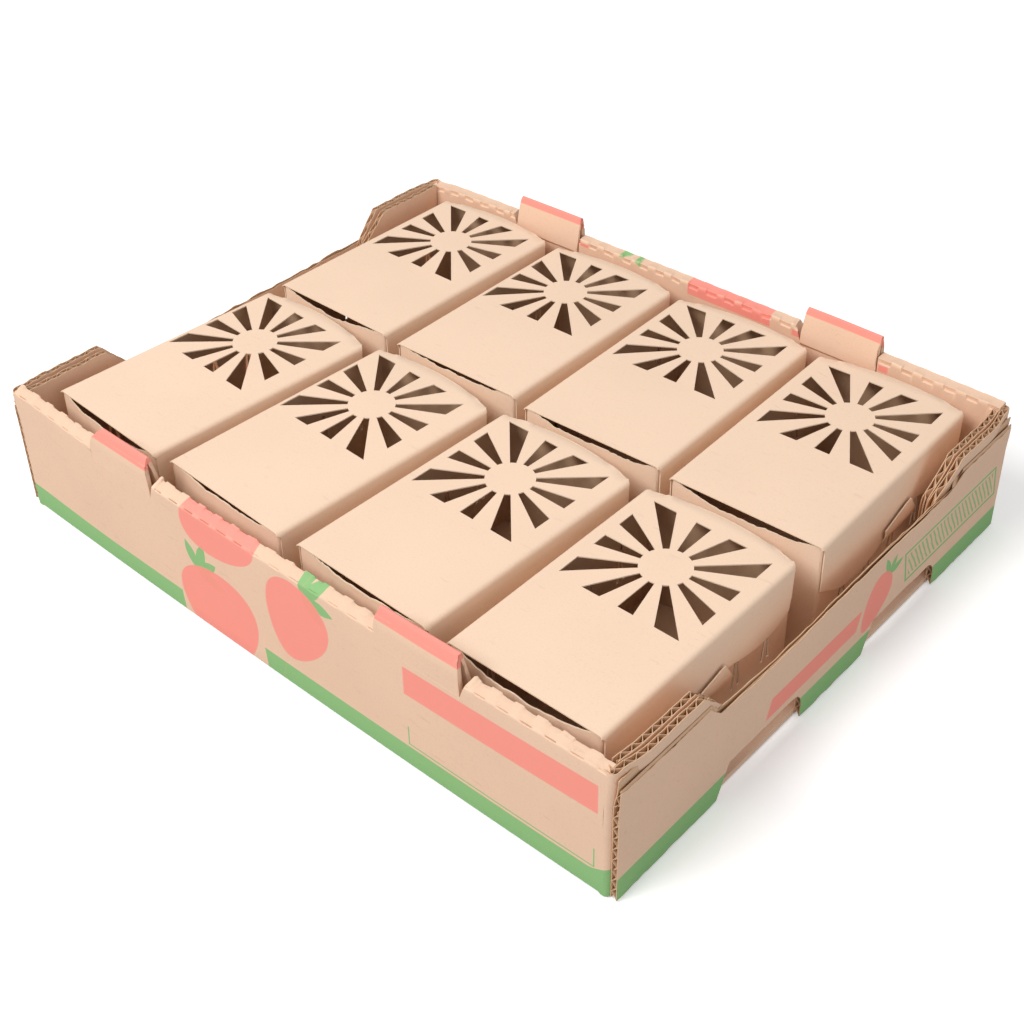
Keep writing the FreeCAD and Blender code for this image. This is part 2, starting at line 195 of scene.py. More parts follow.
class Stack:
    """Gathers the skins and sheets that make up one piece."""

    def __init__(self):
        self.points, self.faces, self.finishes, self.pale = [], [], [], []
        self.count = 0

    def add(self, points, faces, finish=0, pale=0.0):
        """Takes in a skin; pale is above 0 where the paper is worn pale and below 0 where shade is painted
        in.
        """
        points = np.asarray(points, float)
        self.points.append(points)
        self.faces += [[self.count + n for n in face] for face in faces]
        self.finishes += [finish] * len(faces) if np.isscalar(finish) else list(finish)
        self.pale.append(np.broadcast_to(np.asarray(pale, float), (len(points),)))
        self.count += len(points)

    def loft(self, rings, finish=0, pale=0.0):
        """Quads from ring to ring, with a cap on the first and the last."""
        rings = np.asarray(rings, float)
        count, around = rings.shape[:2]
        faces = [[r * around + s, r * around + (s + 1) % around,
                  (r + 1) * around + (s + 1) % around, (r + 1) * around + s]
                 for r in range(count - 1) for s in range(around)]
        faces.append(list(range(around))[::-1])
        faces.append([(count - 1) * around + s for s in range(around)])
        self.add(rings.reshape(-1, 3), faces, finish, np.broadcast_to(pale, rings.shape[:2]).reshape(-1))

    def sheet(self, flat, triangles, place, thickness, finishes):
        """A flat cut, put in place by a function and given a thickness behind its face."""
        skin = place(flat[:, 0], flat[:, 1])
        normal = np.zeros_like(skin)
        a, b, c = skin[triangles[:, 0]], skin[triangles[:, 1]], skin[triangles[:, 2]]
        facet = np.cross(b - a, c - a)
        for corner in range(3):
            np.add.at(normal, triangles[:, corner], facet)
        normal /= np.maximum(np.linalg.norm(normal, axis=1, keepdims=True), 1e-9)
        back = skin - normal * thickness
        sides = {}
        for one, two, three in triangles:
            for side in ((one, two), (two, three), (three, one)):
                sides[side] = True
        rim = [side for side in sides if (side[1], side[0]) not in sides]
        size = len(flat)
        faces = triangles.tolist() + (triangles[:, ::-1] + size).tolist()
        faces += [[two, one, one + size, two + size] for one, two in rim]
        finish = [finishes[0]] * len(triangles) + [finishes[1]] * len(triangles) + [finishes[2]] * len(rim)
        self.add(np.vstack([skin, back]), faces, finish)

    def piece(self, name, materials, body, stands_for=None, sharp=32):
        """Makes the piece, on its body and the node that it stands for."""
        mesh = bpy.data.meshes.new(name)
        mesh.from_pydata((np.vstack(self.points) * MM).tolist(), [], self.faces)
        for material in materials:
            mesh.materials.append(material)
        mesh.polygons.foreach_set("material_index", self.finishes)
        pale = mesh.attributes.new("pale", "FLOAT", "POINT")
        pale.data.foreach_set("value", np.concatenate(self.pale).astype(np.float32))
        mesh.shade_smooth()
        mesh.set_sharp_from_angle(angle=math.radians(sharp))
        made = bpy.data.objects.new(name, mesh)
        bpy.context.scene.collection.objects.link(made)
        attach(made, body)
        if stands_for:
            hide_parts(stands_for)
        return made


def cut(outline, holes=(), spacing=6.0, lines_u=()):
    """Triangles that fill a dense outline around its holes, with extra points at the given places."""
    loops = [np.asarray(outline, float)] + [np.asarray(hole, float) for hole in holes]
    low, high = loops[0].min(0), loops[0].max(0)

    def spread(start, end, extra=()):
        even = np.linspace(start, end, max(3, round((end - start) / spacing) + 1))
        extra = np.asarray(extra, float)
        if len(extra):
            even = even[np.min(np.abs(even[:, None] - extra[None]), axis=1) > spacing * 0.3]
        return np.sort(np.concatenate([even, extra]))

    grid_u, grid_v = np.meshgrid(spread(low[0], high[0], lines_u), spread(low[1], high[1]))
    fill = np.stack([grid_u.ravel(), grid_v.ravel()], 1)
    fill = fill[inside(fill, loops[0])]
    for loop in loops[1:]:
        fill = fill[~inside(fill, loop)]
    for loop in loops:
        fill = fill[clearance(fill, loop) > 0.6]
    points = np.vstack(loops + [fill])
    edges, start = [], 0
    for loop in loops:
        edges += [(start + n, start + (n + 1) % len(loop)) for n in range(len(loop))]
        start += len(loop)
    found, _, faces, _, _, _ = delaunay_2d_cdt(
        [Vector(p) for p in points], edges, [list(range(len(loops[0])))], 1, 1e-5)
    flat = np.array([(p.x, p.y) for p in found])
    triangles = np.array([f for f in faces if len(f) == 3])
    middles = flat[triangles].mean(1)
    keep = np.ones(len(triangles), bool)
    for loop in loops[1:]:
        keep &= ~inside(middles, loop)
    return flat, triangles[keep]


def spans(loop, level, axis):
    """Where a line at the level crosses a closed loop, as pairs along the other axis."""
    here, after = loop, np.roll(loop, -1, axis=0)
    crossed = (here[:, axis] > level) != (after[:, axis] > level)
    a, b = here[crossed], after[crossed]
    part = (level - a[:, axis]) / (b[:, axis] - a[:, axis])
    found = np.sort(a[:, 1 - axis] + (b[:, 1 - axis] - a[:, 1 - axis]) * part)
    return list(zip(found[::2], found[1::2]))


# The shaders

class Shade:
    """A shader value that Python's operators work on."""

    def __init__(self, finish, link):
        self.finish, self.link = finish, link

    def math(self, operation, *others):
        return self.finish.node("ShaderNodeMath", {"operation": operation}, dict(enumerate((self, *others))))

    def __add__(self, other):
        return self.math("ADD", other)

    def __sub__(self, other):
        return self.math("SUBTRACT", other)

    def __mul__(self, other):
        return self.math("MULTIPLY", other)

    def __truediv__(self, other):
        return self.math("DIVIDE", other)

    def __rsub__(self, other):
        return self.finish.node("ShaderNodeMath", {"operation": "SUBTRACT"}, {0: other, 1: self})

    def __rtruediv__(self, other):
        return self.finish.node("ShaderNodeMath", {"operation": "DIVIDE"}, {0: other, 1: self})

    def __abs__(self):
        return self.math("ABSOLUTE")

    def __gt__(self, other):
        return self.math("GREATER_THAN", other)

    def __lt__(self, other):
        return self.math("LESS_THAN", other)

    __radd__ = __add__
    __rmul__ = __mul__

    def sqrt(self):
        return self.math("MAXIMUM", 0).math("SQRT")

    def either(self, other):
        return self.math("MAXIMUM", other)


class Finish:
    """A material and the nodes that give it its look."""

    def __init__(self, name, roughness=0.8):
        self.material = bpy.data.materials.new(name)
        self.material.use_nodes = True
        self.tree = self.material.node_tree
        self.shader = next(n for n in self.tree.nodes if n.type == "BSDF_PRINCIPLED")
        self.shader.inputs["Roughness"].default_value = roughness
        self.shader.inputs["Specular IOR Level"].default_value = 0.25
        self.place = self.node("ShaderNodeTexCoord", {}, {}, "Object")
        split = [self.node("ShaderNodeSeparateXYZ", {}, {"Vector": self.place}, axis) for axis in "XYZ"]
        self.x, self.y, self.z = [part / MM for part in split]

    def node(self, kind, settings, sockets, out=0):
        """A node with its settings, then the values or links of its sockets."""
        made = self.tree.nodes.new(kind)
        for setting, value in settings.items():
            setattr(made, setting, value)
        for name, value in sockets.items():
            by_identifier = {s.identifier: s for s in made.inputs}
            socket = by_identifier[name] if name in by_identifier else made.inputs[name]
            if isinstance(value, Shade):
                self.tree.links.new(value.link, socket)
            else:
                socket.default_value = value
        found = {s.identifier: s for s in made.outputs}
        return Shade(self, found[out] if out in found else made.outputs[out])

    def noise(self, scale, detail=2.0, stretch=(1, 1, 1)):
        """Noise from 0 to 1, scale cells to the metre, drawn out along the axes by stretch."""
        place = self.node("ShaderNodeVectorMath", {"operation": "MULTIPLY"},
                          {0: self.place, 1: tuple(1 / s for s in stretch)})
        return self.node("ShaderNodeTexNoise", {}, {"Vector": place, "Scale": scale, "Detail": detail})

    def ramp(self, value, low, high):
        return self.node("ShaderNodeMapRange", {"interpolation_type": "SMOOTHSTEP"},
                         {"Value": value, "From Min": low, "From Max": high})

    def attribute(self, name):
        return self.node("ShaderNodeAttribute", {"attribute_name": name}, {}, "Fac")

    def mix(self, factor, under, over):
        return self.node("ShaderNodeMix", {"data_type": "RGBA"},
                         {"Factor_Float": factor, "A_Color": under, "B_Color": over}, "Result_Color")

    def bump(self, height, distance, strength=1.0):
        return self.node("ShaderNodeBump", {},
                         {"Height": height, "Distance": distance * MM, "Strength": strength}, "Normal")

    def feed(self, socket, value):
        self.tree.links.new(value.link, self.shader.inputs[socket])


def ink(red, green, blue):
    """A screen colour of 0 to 255 as the shader's linear one."""
    def linear(level):
        level /= 255
        return level / 12.92 if level <= 0.04045 else ((level + 0.055) / 1.055) ** 2.4
    return linear(red), linear(green), linear(blue), 1.0


KRAFT = ink(240, 203, 175)
KRAFT_CARD = ink(249, 218, 191)
KRAFT_INSIDE = ink(214, 176, 142)
# KRAFT_DARK darkens the fibres, and it is also the colour of the painted shade in the slits and the torn tab
# ends.
KRAFT_DARK = ink(166, 124, 92)
KRAFT_PALE = ink(246, 219, 190)
KRAFT_EDGE = ink(222, 184, 146)
KRAFT_FLUTE = ink(222, 184, 150)
GREEN_INK = ink(138, 192, 126)
PINK_INK = ink(255, 154, 140)


def kraft(name, ground, prints=(), fibre=1.0, washboard=None):
    """Kraft paper: mottled, with short fibres, paler where it is creased or torn, with painted shade where
    pale is below 0, and any prints.

    washboard is the place along which the flutes beneath show as faint waves.
    """
    finish = Finish(name)
    cloud = finish.noise(14, 3)
    grain = finish.noise(900, 3)
    strands = finish.noise(300, 4, (5, 1, 1))
    cross = finish.noise(280, 4, (1, 5, 1))
    shade = tuple(c * 0.93 for c in ground[:3]) + (1,)
    colour = finish.mix(finish.ramp(cloud, 0.35, 0.7) * 0.4, ground, shade)
    colour = finish.mix(finish.ramp(grain, 0.5, 0.8) * 0.14 * fibre, colour, KRAFT_DARK)
    colour = finish.mix(finish.ramp(strands, 0.64, 0.74) * 0.12 * fibre, colour, KRAFT_DARK)
    colour = finish.mix(finish.ramp(cross, 0.62, 0.72) * 0.14 * fibre, colour, KRAFT_PALE)
    for shape, pigment in prints:
        cover = shape(finish) * (0.96 - finish.ramp(grain, 0.5, 0.75) * 0.12)
        colour = finish.mix(cover, colour, pigment)
    pale = finish.attribute("pale")
    rough_pale = pale + (grain - 0.5) * 0.4
    colour = finish.mix(finish.ramp(rough_pale, 0.15, 0.9) * 0.6, colour, KRAFT_PALE)
    # Painted shade: below 0, pale darkens the colour towards KRAFT_DARK.
    colour = finish.mix(finish.ramp(0 - rough_pale, 0.15, 0.9) * 0.7, colour, KRAFT_DARK)
    finish.feed("Base Color", colour)
    finish.feed("Roughness", 0.72 + grain * 0.2)
    height = grain * 0.6 + strands * 0.4 + cloud
    if washboard:
        height = height + (getattr(finish, washboard) * (2 * math.pi / FLUTE_PITCH)).math("SINE") * 0.35
    finish.feed("Normal", finish.bump(height, 0.12, 0.5))
    return finish.material


# The printed fields

# How far in from a long wall's face the rim's print reaches, and where the ends' outer faces begin
PRINT_DEPTH = 9.5
END_LIMIT = POST_X + 3


def between(value, low, high, soft=0.25):
    """1 where a shader value lies between two limits, with a soft edge."""
    finish = value.finish
    return finish.ramp(value, low - soft, low + soft) * (1 - finish.ramp(value, high - soft, high + soft))


def turned(across, up, centre, angle):
    """A place measured from a centre along two axes turned by an angle."""
    cosine, sine = math.cos(math.radians(angle)), math.sin(math.radians(angle))
    x, z = across - centre[0], up - centre[1]
    return x * cosine + z * sine, z * cosine - x * sine


def berry(across, up, centre, half_width, half_height, angle, shoulder=0.3):
    """A plump fruit, broader towards its stalk."""
    side, along = turned(across, up, centre, angle)
    part = along / half_height
    width = (1 - part * part).sqrt() * (part * shoulder + 1) * half_width
    return across.finish.ramp(width - abs(side), -0.3, 0.3)


def leaf(across, up, root, length, width, angle):
    """A pointed leaf from its root outwards."""
    side, along = turned(across, up, root, angle)
    part = along / length
    return across.finish.ramp(part * (1 - part) * 4 * width - abs(side), -0.25, 0.25)


def crown(across, up, root, length, angles):
    """The leaves that spread from a stalk."""
    cover = None
    for number, angle in enumerate(angles):
        blade = leaf(across, up, root, length * (1 - 0.12 * (number % 2)), length * 0.17, angle)
        cover = blade if cover is None else cover.either(blade)
    return cover


def front_side(finish):
    """The near wall's outer face and its rim, where the print runs over the fold."""
    outer_face = finish.y < BOARD - HALF_DEPTH
    return outer_face.either(finish.z > CREASED_FROM) * (finish.y < PRINT_DEPTH - HALF_DEPTH)


def front_green(finish):
    """The near wall's green: the band along its foot, a bracket and two crowns of leaves."""
    x, z = finish.x, finish.z
    top = 16.2 + finish.ramp(0 - x, 150, 250) * 2 + finish.ramp(x, 236, 252) * 5.5
    band = (1 - finish.ramp(z - top, -0.25, 0.25)) * (1 - between(x + z * 0.1, -84, -6))
    bracket = between(x, 112, 241) * between(z, 18, 18.9, 0.15)
    uprights = (between(x, 112, 112.9, 0.2) + between(x, 240.1, 241, 0.2)) * between(z, 18, 32)
    leaves = crown(x, z, (-64, 44), 25, (-100, -55, -18, 26))
    leaves = leaves.either(crown(x, z, (33, 80), 25, (-10, -52, -96, -130)))
    return band.either(bracket).either(uprights).either(leaves) * front_side(finish)


def front_pink(finish):
    """The near wall's pink: a bar and three fruits."""
    x, z = finish.x, finish.z
    bar = between(x, 111, 242.5) * between(z - (x - 111) * 0.022, 56, 76)
    low = berry(x, z, (-47, 17), 35, 34, 8)
    right = berry(x, z, (24, 54), 25, 31, -18)
    high = berry(x, z, (-42, 88), 34, 23, 12, -0.2)
    return bar.either(low).either(right).either(high) * front_side(finish)


def tab_pink(finish):
    """The pink over a tab's top, which runs down to the fold on the outer face."""
    outer = finish.ramp(abs(finish.y), HALF_DEPTH - 2.2, HALF_DEPTH - 1.8)
    inner_edge = TAB_HEIGHT - 4.6
    low_edge = inner_edge - outer * (inner_edge - TAB_FOLD)
    return finish.ramp(finish.z - low_edge, -0.3, 0.3)


def back_green(finish):
    """The far wall's green: the band along its foot and two marks on the rim."""
    x, z = finish.x, finish.z
    band = (1 - finish.ramp(z, 14.3, 14.8)) * (finish.y > HALF_DEPTH - BOARD)
    bits = between(x, -57, -49, 0.8) * between(z - (x + 53) * 0.2, 92, 95, 0.5)
    bits = bits.either(between(x, -43, -38, 0.8) * between(z + (x + 40) * 0.5, 90.5, 94, 0.5))
    return band.either(bits) * (finish.y > HALF_DEPTH - PRINT_DEPTH)


def back_pink(finish):
    """The far wall's pink, which runs over the rim: a bar and three marks."""
    x, z = finish.x, finish.z
    bar = between(x, 5, 75, 0.4) * (z > 83.5)
    marks = between(z, 84.5, 89, 0.5) * (between(x, 93, 101, 0.8) + between(x, 161, 168, 0.8))
    marks = marks.either(between(z, 88, 90.5, 0.4) * between(x, -95, -86, 0.8)) * (finish.y < HALF_DEPTH - 4)
    return bar.either(marks) * (finish.y > HALF_DEPTH - PRINT_DEPTH)


def end_band(finish):
    """The green band along an end panel's foot."""
    return 1 - finish.ramp(finish.z, 16.3, 16.8)


def end_green(finish):
    """The right end's green: the band, a hatched frame and leaves."""
    y, z = finish.y, finish.z
    side, along = y - 134, z - 41
    slanted = side + along * 0.2
    frame_outer = between(slanted, -57, 57) * between(along, -12.5, 12.5)
    frame_inner = between(slanted, -55.2, 55.2) * between(along, -10.8, 10.8)
    wobble = (finish.noise(60, 2) - 0.5) * 4
    hatch = between((slanted + 400 + along * 0.35 + wobble).math("MODULO", 4.4), 0.6, 2.5, 0.4)
    hatch = hatch * between(slanted, -53, 53) * between(along, -9, 9) * 0.85
    leaves = crown(y, z, (58, 49), 15, (-75, -30, 20))
    outer_end = abs(finish.x) > END_LIMIT
    printed = end_band(finish).either(frame_outer - frame_inner).either(hatch).either(leaves)
    return printed * outer_end


def end_pink(finish):
    """The right end's pink: a slanting bar and a fruit."""
    y, z = finish.y, finish.z
    bar = between(y - (z - 33) * 0.35, -66, 27) * between(z, 26.5, 40)
    return bar.either(berry(y, z, (45, 36), 13, 20, -38)) * (abs(finish.x) > END_LIMIT)


def plain_green(finish):
    """The left end's green: the band alone."""
    return end_band(finish) * (abs(finish.x) > END_LIMIT)


BOARD_FRONT = kraft("board_front", KRAFT, [(front_green, GREEN_INK), (front_pink, PINK_INK)], washboard="x")
BOARD_BACK = kraft("board_back", KRAFT, [(back_green, GREEN_INK), (back_pink, PINK_INK)], washboard="x")
BOARD_END = kraft("board_right_end", KRAFT, [(end_green, GREEN_INK), (end_pink, PINK_INK)], washboard="z")
BOARD_PLAIN_END = kraft("board_left_end", KRAFT, [(plain_green, GREEN_INK)], washboard="z")
BOARD_TAB = kraft("board_tab", KRAFT, [(tab_pink, PINK_INK)])
BOARD_PLAIN = kraft("board", KRAFT, washboard="x")
BOARD_EDGE = kraft("board_raw_edge", KRAFT_EDGE, fibre=2.0)
BOARD_FLUTE = kraft("board_flutes", KRAFT_FLUTE, fibre=1.6)
CARD_FACE = kraft("card", KRAFT_CARD, fibre=0.8)
CARD_BACK = kraft("card_inside", KRAFT_INSIDE)
CARD_EDGE = kraft("card_raw_edge", KRAFT_PALE, fibre=1.3)


# The long walls

def bow(x):
    """How far a long wall's face stands out past the corners."""
    return WALL_BOW * (1 - (np.asarray(x) / WALL_END) ** 2)


def near_creases(x):
    """Heights of the near wall's outer and inner rim creases."""
    left, right = rise(-x, 165, 235), rise(x, 100, 240)
    return 88.4 + 2.8 * left + 1.4 * right, 92.0 + 1.8 * left - 0.2 * right


def far_creases(x):
    """Heights of the far wall's outer and inner rim creases."""
    right, corner = rise(x, 0, 160), rise(-x, 222, WALL_END)
    return 93.0 + 0.9 * right - 1.6 * corner, 92.6 + 0.7 * right - 1.6 * corner


def wall_section(x, seed, crease_out, crease_in):
    """Depths from the face and heights of a rolled wall's section at each x: the ring's points in turn."""
    phase = (x + wander(x, seed, 40) * 1.5) / CREASE_PITCH * 2 * math.pi
    ragged = wander(x, seed + 7, 1.7) * 0.3
    bridge = rise(np.sin(phase) + ragged, -0.15, 0.2)
    inner_bridge = rise(np.sin(phase + 0.5) + ragged, -0.15, 0.2)
    strength = 0.55 + 0.45 * wander(x, seed + 8, 22)
    slit, inner_slit = 1 - bridge, 1 - inner_bridge
    one = np.ones_like(x)
    calm = 1 - rise(np.abs(x), CORNER_FROM, WALL_END)
    sag = wander(x, seed + 1, 60) * 0.5
    out = crease_out + sag + bridge * 0.25
    inn = crease_in + sag + inner_bridge * 0.9 * strength + wander(x, seed + 2, 4) * 0.4
    ring = [(10 * one, 0 * one), (5 * one, 0 * one)]
    ring += [((1 - math.sin(angle)) * FOOT_ROUND * one, (1 - math.cos(angle)) * FOOT_ROUND * one)
             for angle in np.linspace(0, math.pi / 2, 5)]
    for height in (10, 20, 30, 40, 50, 60, 70, TAB_ROOT, CREASED_FROM):
        belly = wander(x, seed + 3, 90) * 0.35 * math.sin(math.pi * height / 95) * calm
        ring.append((belly, height * one))
    # The third value of each crease point is its lightness: paler on the crushed bridges, and below 0 in the
    # perforation slits, where shade is painted in.
    outer_crease = [
        (0 * one, out - 1.9, 0.2 * bridge),
        (0.05 * one, out - 0.8, 0.45 * bridge),
        (0.15 + 0.75 * slit, out - 0.4, 0.5 * bridge - 0.9 * slit),
        (0.5 + 0.5 * slit, out + 0.05, 0.5 * bridge - 0.9 * slit),
        (0.9 * one, out + 0.45, 0.4 * bridge),
    ]
    strip = [
        (2.4 * one, out + (inn - out) * 0.3, 0.15 * bridge),
        (4.0 + wander(x, seed + 4, 14) * 0.2, out + (inn - out) * 0.6 + wander(x, seed + 5, 9) * 0.15,
         0 * one),
    ]
    inner_crease = [
        (6.0 * one, inn - 0.25 - 0.2 * inner_slit, 0.3 * inner_bridge),
        (7.0 + 0.3 * inner_bridge, inn - 0.05 - 0.4 * inner_slit, 0.5 * inner_bridge),
        (7.6 + 0.4 * inner_bridge - 0.3 * inner_slit, inn - 0.8, 0.6 * inner_bridge - 0.2 * inner_slit),
        (7.9 + 0.3 * inner_bridge - 0.9 * inner_slit, inn - 1.4, 0.5 * inner_bridge - 0.5 * inner_slit),
        (8.0 + 0.2 * inner_bridge - 0.9 * inner_slit, inn - 3.4, 0.3 * inner_bridge - 0.5 * inner_slit),
        (8.1 * one, inn - 4.2, 0 * one),
    ]
    creased = outer_crease + strip + inner_crease
    plain_below = len(ring)
    ring += [(depth, height) for depth, height, _ in creased]
    ring += [((WALL + wander(x, seed + 6, 70) * 0.4) * one, height * one)
             for height in (CREASED_FROM, TAB_ROOT, 60, 40, 20)]
    ring += [(WALL * one, 2 * one), (10 * one, 1.5 * one)]
    depth = np.stack([d * one for d, _ in ring], 1)
    height = np.stack([h * one for _, h in ring], 1)
    lightness = np.zeros_like(depth)
    lightness[:, plain_below:plain_below + len(creased)] = np.stack([p * strength for _, _, p in creased], 1)
    return depth, height, lightness


def ring_points(x, depth, height, way):
    """Puts section rings at their x, on the near wall (way -1) or the far one (way 1)."""
    y = (HALF_DEPTH + bow(x) - depth) * way
    return np.stack([np.broadcast_to(x, y.shape), y, height], -1)


def corner_push(x, z):
    """How far the top of a long wall is drawn out along X with the posts at its ends."""
    right, left = RIGHT_LEAN[1] * CORNER_SHARE, -LEFT_LEAN[1] * CORNER_SHARE
    ends = right * rise(x, CORNER_FROM, WALL_END) + left * rise(-x, CORNER_FROM, WALL_END)
    return rise(z, LEAN_FROM, RIM) * ends


def make_long_wall(name, way, seed, material, creases, stands_for=None):
    """A rolled double wall with perforated creases along its rim, cut down where the tabs rise."""
    stack = Stack()
    tabs = [(start, end) for side, start, end, _ in TABS.values() if side == way]
    x = np.arange(-WALL_END, WALL_END + 0.01, 0.9)
    x = np.sort(np.concatenate([x] + [[stop - 0.01, stop + 0.01] for ends in tabs for stop in ends]))
    depth, height, pale = wall_section(x, seed, *creases(x))
    cut_down = np.zeros(len(x), bool)
    for start, end in tabs:
        cut_down |= (x > start) & (x < end)
    height[cut_down] = np.minimum(height[cut_down], TAB_ROOT)
    points = ring_points(x[:, None], depth, height, way)
    above = np.clip((height - TAB_ROOT - 2) / (RIM - TAB_ROOT - 2), 0, 1.2)
    for start, end in tabs:
        torn = end if way < 0 else start
        side = 1 if way < 0 else -1
        away = (x - torn) * side
        beside = (away > 0) & (away < 11)
        fade = (1 - rise(away, 0, 11))[:, None]
        pull = SLIT_WIDTH * above + wander(height * 3 + depth, seed + 9, 3) * 0.5 * (above > 0)
        points[..., 0] += np.where(beside[:, None], pull * fade * side, 0)
        lump = (1.0 + 0.6 * wander(away, seed + 12, 2)) * (1 - rise(away, 1, 6))
        lump = lump[:, None] * rise(height, 86, 91)
        points[..., 2] += np.where(beside[:, None], lump, 0) * (way < 0)
        pale = np.where(beside[:, None], pale + 0.5 * fade * (above > 0.3), pale)
    points[..., 0] += corner_push(points[..., 0], points[..., 2])
    if way > 0:
        points = points[::-1]
        pale = pale[::-1]
    stack.loft(points, 0, pale)
    return stack.piece(name, [material], TRAY_BODY, stands_for)


def make_tab(name, seed):
    """A tent-shaped stacking tab, folded from the wall and torn free at its ends."""
    way, start, end, lean = TABS[name]
    stack = Stack()
    part = np.linspace(0, 1, 45)
    outer = [(0, TAB_ROOT), (0, 86), (0, RIM), (0.05, TAB_FOLD - 0.6), (0.2, TAB_FOLD), (0.6, 100.9),
             (0.75, 101.5), (0.9, 102.1), (1.4, 104.4), (1.9, TAB_HEIGHT - 0.9), (2.4, TAB_HEIGHT - 0.15),
             (3.4, TAB_HEIGHT), (4.3, TAB_HEIGHT - 0.6), (5.3, 104.4), (6.9, 98), (8.6, 90), (9.6, 84),
             (9.6, 82), (8.2, TAB_ROOT)]
    inner = [(5.6, TAB_ROOT), (7.1, 83.4), (6.2, 90), (4.8, 97), (3.4, 102.2), (2.9, 102.4), (2.75, 99),
             (2.7, RIM), (2.65, 86), (2.6, TAB_ROOT)]
    worn = {5: 0.1, 6: 0.6, 7: 0.1, 10: 0.35, 12: 0.2}
    section = np.array(outer + inner, float)
    z = section[:, 1]
    jitter = wander(z * 2 + section[:, 0], seed, 3) * 0.4
    up = np.clip((z - RIM) / (TAB_HEIGHT - RIM), 0, 1)
    low_end = start + lean * up ** 1.5 + jitter
    frayed = wander(z * 2 + section[:, 0], seed + 1, 2.5) * 0.6
    high_end = end - 0.4 - np.clip((z - 84) / 12, 0, 1) * 0.8 + frayed
    x = low_end[None] + (high_end - low_end)[None] * part[:, None]
    wave = wander(x + z[None] * 0.3, seed + 2, 26) * 0.35 * rise(z, TAB_ROOT, RIM)[None]
    points = ring_points(x, section[None, :, 0] + wave, np.broadcast_to(z, x.shape), way)
    pale = np.zeros(x.shape)
    for row, amount in worn.items():
        pale[:, row] = amount * (0.6 + 0.4 * wander(x[:, row], seed + 3, 6))
    # The torn end is painted mostly dark: painted shade of the hollows in the torn board, with paler torn
    # fibres among it.
    pale[-1, :] = wander(z * 2, seed + 4, 1.5) * 0.9 - 0.2
    if way > 0:
        points, pale = points[::-1], pale[::-1]
    stack.loft(points, 0, pale)
    return stack.piece(f"{name}_tab", [BOARD_TAB], TRAY_BODY)


# The corner posts and the end panels

def post_outline(begin, origin, seed):
    """The flat cut of a post's board, from the corner to its sloping, raw inner edge.

    A place at the depth y from the tray's middle lies at origin - y along the cut.
    """
    corners = [(begin, 0.2), (origin - POST_TOE_Y, BOARD), (origin - POST_FOOT_Y, POST_TOE_HEIGHT),
               (origin - POST_FOOT_Y, POST_FOOT_HEIGHT), (origin - POST_TOP_Y, RIM), (begin, RIM)]
    loop = dense(corners, 2.0)
    rough = rise(loop[:, 1], 60, 90) * (loop[:, 0] > begin + 3)
    loop[:, 1] += wander(loop[:, 0] + loop[:, 1], seed, 4) * 0.5 * rough
    loop[:, 0] += wander(loop[:, 0] - loop[:, 1], seed + 1, 5) * 0.5 * rough
    return loop


def board_layers(stack, place, wave_axis, seed, loops, mirrored, spacing=9.0, lines_u=()):
    """Corrugated board: a liner on each face and the fluted medium between them.

    place takes flat coordinates and a depth behind the face. wave_axis is the flat axis that the
    flutes cross. loops holds the cuts of the face, the medium and the back. mirrored says that place
    turns the flat cut over.
    """
    order = -1 if mirrored else 1
    face_loop, medium_loop, back_loop = loops
    for loop, behind, finishes in ((face_loop, 0, (0, 2, 1)), (back_loop, BOARD - LINER, (2, 0, 1))):
        flat, triangles = cut(loop, spacing=spacing, lines_u=lines_u)
        stack.sheet(flat, triangles[:, ::order], lambda u, v: place(u, v, np.full_like(u, behind)),
                    LINER, finishes)
    middle = (BOARD - MEDIUM) / 2
    reach = middle - LINER
    low, high = medium_loop[:, wave_axis].min(), medium_loop[:, wave_axis].max()
    columns = max(2, round(np.ptp(medium_loop[:, 1 - wave_axis]) / MEDIUM_PART))
    strips, open_strips = [], []
    for level in np.arange(low + 0.3, high, FLUTE_PITCH / 8):
        found = spans(medium_loop, level, wave_axis)
        depth = middle + reach * math.sin(2 * math.pi * level / FLUTE_PITCH + seed)
        if len(found) != len(open_strips):
            strips += open_strips
            open_strips = [[] for _ in found]
        for strip, (first, last) in zip(open_strips, found):
            strip.append((level, first, last, depth))
    strips += open_strips
    for strip in strips:
        if len(strip) < 2:
            continue
        level, first, last, depth = (np.array(column)[:, None] for column in zip(*strip))
        along = first + (last - first) * np.linspace(0, 1, columns + 1)[None]
        level = np.broadcast_to(level, along.shape)
        u, v = (level, along) if wave_axis == 0 else (along, level)
        rings = [place(u.ravel(), v.ravel(), np.broadcast_to(depth + lift, along.shape).ravel())
                 .reshape(*along.shape, 3) for lift in (0, MEDIUM)]
        stack.loft(np.concatenate([rings[0], rings[1][:, ::-1]], 1)[:, ::order], 2)


